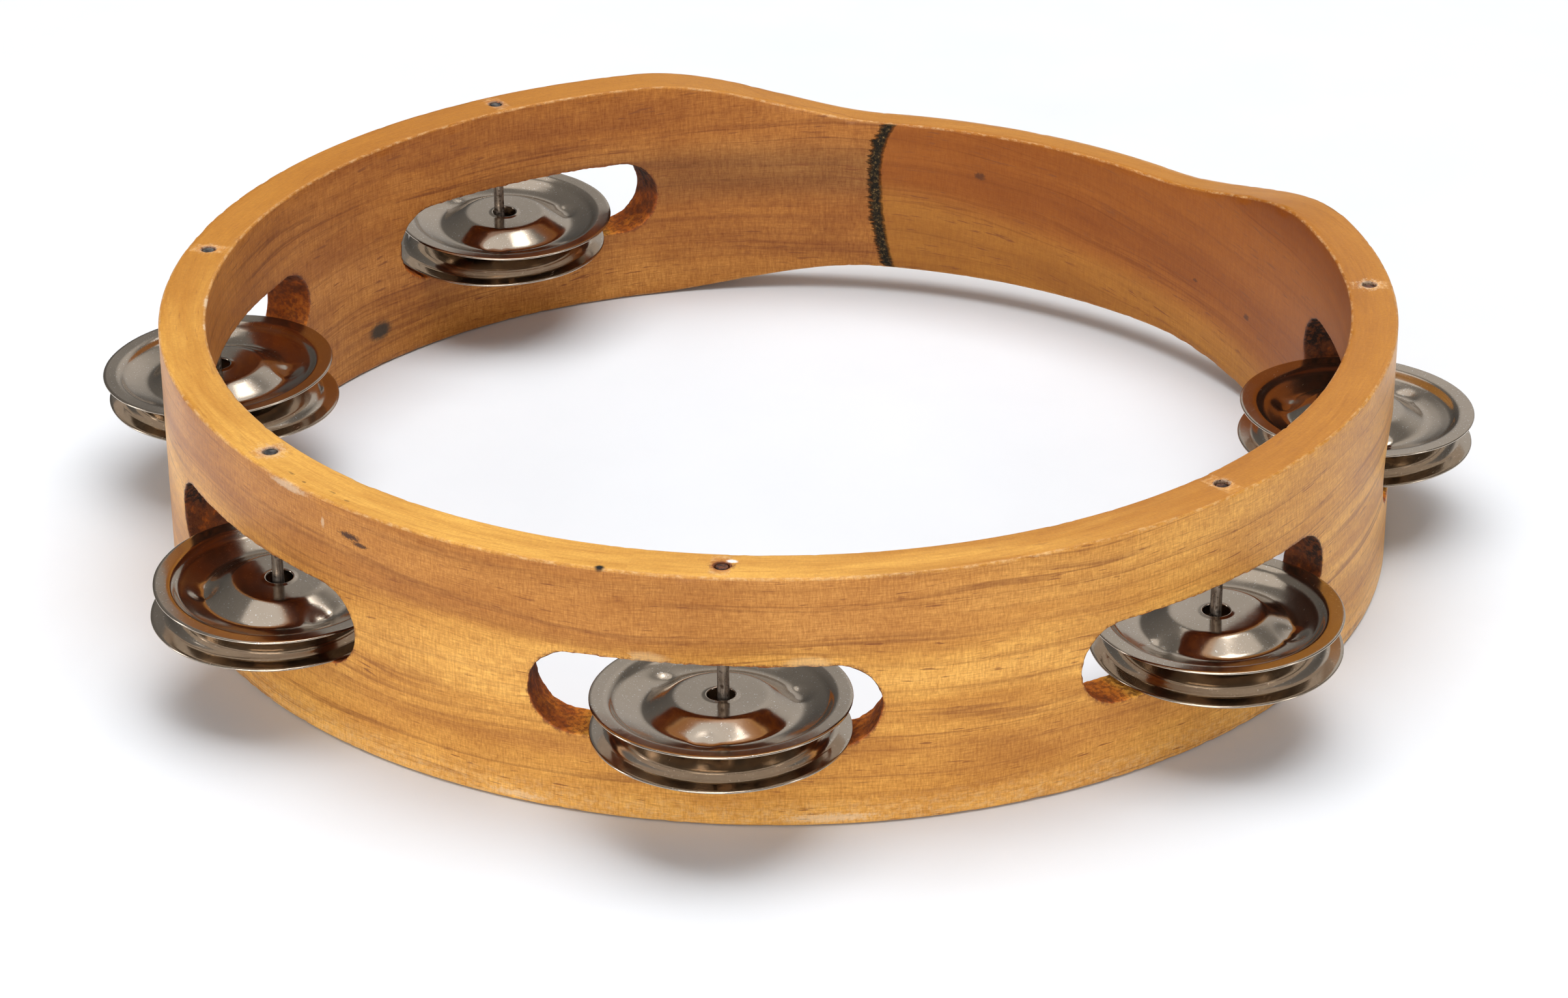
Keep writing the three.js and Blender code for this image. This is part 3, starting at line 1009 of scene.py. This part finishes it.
def add_strip_places(piece):
    """Each corner's place along, through and up the bent strip, and its distance from the scarf."""
    data = piece.data
    points = np.zeros(len(data.vertices) * 3)
    data.vertices.foreach_get("co", points)
    points = points.reshape(-1, 3)
    corner = np.zeros(len(data.loops), int)
    data.loops.foreach_get("vertex_index", corner)
    starts = np.zeros(len(data.polygons), int)
    totals = np.zeros(len(data.polygons), int)
    data.polygons.foreach_get("loop_start", starts)
    data.polygons.foreach_get("loop_total", totals)
    angle = wrapped(direction(points) - SEAM_ANGLE)[corner]
    spread = np.maximum.reduceat(angle, starts) - np.minimum.reduceat(angle, starts)
    crossing = np.repeat(spread > math.pi, totals)
    angle = np.where(crossing & (angle < 0), angle + 2 * math.pi, angle)
    radius = np.hypot(points[:, 0], points[:, 1] - CENTRE.y)[corner]
    height = points[:, 2][corner]
    strip = np.stack([angle * OUTER, OUTER - radius, height], -1) / MM
    layer = data.attributes.new("strip", "FLOAT_VECTOR", "CORNER")
    layer.data.foreach_set("vector", strip.astype(np.float32).ravel())
    layer = data.attributes.new("scarf", "FLOAT", "CORNER")
    layer.data.foreach_set("value", seam_offset(angle, radius, height).astype(np.float32))


def make_shell():
    """The bent strip of wood, with its slots and the pins' bores."""
    surface = Surface()
    angles = column_angles()
    radii, heights, edges = (part[:, :-1] for part in section(angles))
    around = np.broadcast_to(angles[:, None], radii.shape)
    dent_in, dent_down = nicks(around, radii, heights, edges)
    radii = radii - glue_bead(around, radii, heights, edges) + dent_in
    heights = heights + dent_down
    grid = surface.add(on_ring(around, radii, heights), edge=edges, rim=50.0)
    kept = np.ones(grid.shape, bool)

    rows = SLOT_ROWS + 2 * MARGIN_ROWS
    top_start = rows + CORNER_STEPS
    inner_top = top_start + EDGE_FACE_STEPS + CORNER_STEPS
    inner_row = inner_top + rows - MARGIN_ROWS
    for number in numbers:
        passage, solid = cut_slot(surface, grid, kept, number, MARGIN_ROWS, inner_row)
        bore_pin(surface, grid, kept, top_start, passage, solid, number)
        surface.close(passage, solid)
    surface.close(np.concatenate([grid, grid[:, :1]], 1), kept)

    shell = surface.piece("shell_wood")
    add_strip_places(shell)
    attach(shell, "shell")
    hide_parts("wooden_shell")
    return shell


def turned(surface, profile, segments, centre, **values):
    """A closed section turned round a vertical axis."""
    turn = np.arange(segments) * 2 * math.pi / segments
    radius = np.array([point[0] for point in profile])
    height = np.array([point[1] for point in profile])
    points = np.stack([
        centre.x + np.cos(turn)[:, None] * radius,
        centre.y + np.sin(turn)[:, None] * radius,
        centre.z + np.broadcast_to(height, (segments, len(profile))),
    ], -1)
    return surface.add(points, **values)


def make_pin(number):
    """A headless wire pin, its end a little flared and battered by the hammer."""
    low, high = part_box(f"pin_{number}")
    centre = Vector((pins[number - 1].x, pins[number - 1].y, 0))
    radius = (high.y - low.y) / 2
    top = HEIGHT - PIN_TOPS[number - 1] * MM
    flare = PIN_FLARE * radius
    surface = Surface()
    levels = np.linspace(low.z + 0.3 * MM, top - PIN_TOP_LENGTH, PIN_LEVELS)
    profile = [(0.3 * radius, low.z), (0.8 * radius, low.z)]
    profile += [(radius, level) for level in levels]
    profile += [(flare, top - 0.25 * MM), (flare, top - 0.12 * MM)]
    profile += [(flare * share, top) for share in (0.92, 0.7, 0.5, 0.3, 0.12)]
    ends = np.array([point[1] > top - 0.3 * MM for point in profile]) * 1.0
    stains = ends * PIN_STAINS[number - 1]
    grid = turned(surface, profile, PIN_SEGMENTS, centre, end=ends, stain=stains)
    outward = surface.points - np.array(centre)
    outward[:, 2] = 0
    dents = rough(surface.points, 1100, 3, number)
    near_top = smoothstep(surface.points[:, 2], top - PIN_TOP_LENGTH, top)
    depth = (PIN_DENTS + PIN_TOP_DENTS * near_top) * np.abs(dents)
    surface.points = surface.points - outward * depth[:, None]
    batter = np.abs(rough(surface.points, 1500, 3, number + 7))
    surface.points[:, 2] -= PIN_TOP_BATTER * near_top * batter
    surface.close(grid)
    surface.caps += [grid[::-1, 0], grid[:, -1]]
    pin = surface.piece(f"pin_wire_{number}")
    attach(pin, f"pin_{number}")
    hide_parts(f"pin_{number}")
    return pin


def jingle_height(radius):
    """The sheet's middle, with its creases eased: softly in the dish, tightly at the flange."""
    places, heights = np.array(JINGLE_SECTION).T
    ease = np.take(CREASE_EASES, np.searchsorted(CREASE_RADII, radius, "right"))
    spread = np.linspace(-1, 1, 9)
    weights = 1 - np.abs(spread) * 0.6
    total = sum(w * np.interp(radius + s * ease, places, heights) for s, w in zip(spread, weights))
    return total / weights.sum()


def jingle_outline():
    """The sheet's section as a closed line round its thickness, with rounded ends."""
    hole, rim = JINGLE_SECTION[0][0], JINGLE_SECTION[-1][0]
    step = (rim - SHEET_HALF - hole - SHEET_HALF) / JINGLE_RINGS
    radius = hole + SHEET_HALF + np.arange(JINGLE_RINGS + 1) * step
    height = jingle_height(radius)
    slope = np.gradient(height, radius)
    lean = np.stack([-slope, np.ones(len(slope))], -1) / np.hypot(slope, 1)[:, None]
    middle = np.stack([radius, height], -1)
    over, under = middle + SHEET_HALF * lean, middle - SHEET_HALF * lean

    def rounded_end(point, up):
        """Half a turn round an end of the sheet, from its upper side to its lower."""
        turns = np.linspace(math.pi / 2, -math.pi / 2, RIM_STEPS + 1)[1:-1]
        out = np.array([up[1], -up[0]])
        return [point + SHEET_HALF * (math.cos(t) * out + math.sin(t) * up) for t in turns]

    outer_end = rounded_end(middle[-1], lean[-1])
    inner_end = rounded_end(middle[0], -lean[0])
    return np.array([*over, *outer_end, *under[::-1], *inner_end])


def make_jingle(kind, number):
    """One dished disc. The upper one is hollow side up; the lower one is the same turned over."""
    upper_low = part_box(f"upper_jingle_{number}")[0]
    lower_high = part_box(f"lower_jingle_{number}")[1]
    meeting = (upper_low.z + lower_high.z) / 2
    centre = box_middle(f"{kind}_jingle_{number}")
    face = 1 if kind == "upper" else -1
    outline = jingle_outline()
    turn = np.arange(JINGLE_SEGMENTS) * 2 * math.pi / JINGLE_SEGMENTS
    across = np.broadcast_to(outline[:, 0], (JINGLE_SEGMENTS, len(outline)))
    lift = np.broadcast_to(outline[:, 1], across.shape).copy()
    x = across * np.cos(turn)[:, None]
    y = across * np.sin(turn)[:, None]
    for third in range(3):
        place = DIMPLE_TURNS[number - 1] + 120 * third
        place = math.radians(place + (0 if face > 0 else LOWER_DIMPLE_TURN))
        from_dimple = np.hypot(x - DIMPLE_RADIUS * math.cos(place), y - DIMPLE_RADIUS * math.sin(place))
        lift -= DIMPLE_DEPTH * smoothstep(from_dimple, 1.35 * DIMPLE_WIDTH, 0.45 * DIMPLE_WIDTH)
    points = np.stack([x, y, face * lift], -1) * MM
    round_rim = np.stack([np.cos(turn), np.sin(turn), 0 * turn], -1)
    warp = rough(round_rim, 1.6, 2, 5 * number + face) * WARP * MM
    points[:, :, 2] += warp[:, None] * smoothstep(across, 16, 24)
    *shift, drop, slope_x, slope_y = HANGS[kind][number - 1]
    raised = math.hypot(slope_x, slope_y) * DIMPLE_RADIUS * MM if face > 0 else 0
    points[:, :, 2] += points[:, :, 0] * slope_x + points[:, :, 1] * slope_y + raised - drop * MM
    points[:, :, :2] += np.array(shift) * MM
    points += np.array([centre.x, centre.y, meeting])

    surface = Surface()
    grid = surface.add(points)
    grid = np.concatenate([grid, grid[:, :1]], 1)
    surface.close(grid[::-1] if face > 0 else grid)
    jingle = surface.piece(f"{kind}_disc_{number}")
    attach(jingle, f"{kind}_jingle_{number}")
    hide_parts(f"{kind}_jingle_{number}")
    return jingle


make_camera()
make_floor()
make_world()
make_lights()
bpy.context.scene.view_settings.view_transform = "Standard"
wood_material().onto(make_shell())
wire = pin_material()
plate = jingle_material()
for number in numbers:
    wire.onto(make_pin(number))
    for kind in ("lower", "upper"):
        plate.onto(make_jingle(kind, number))
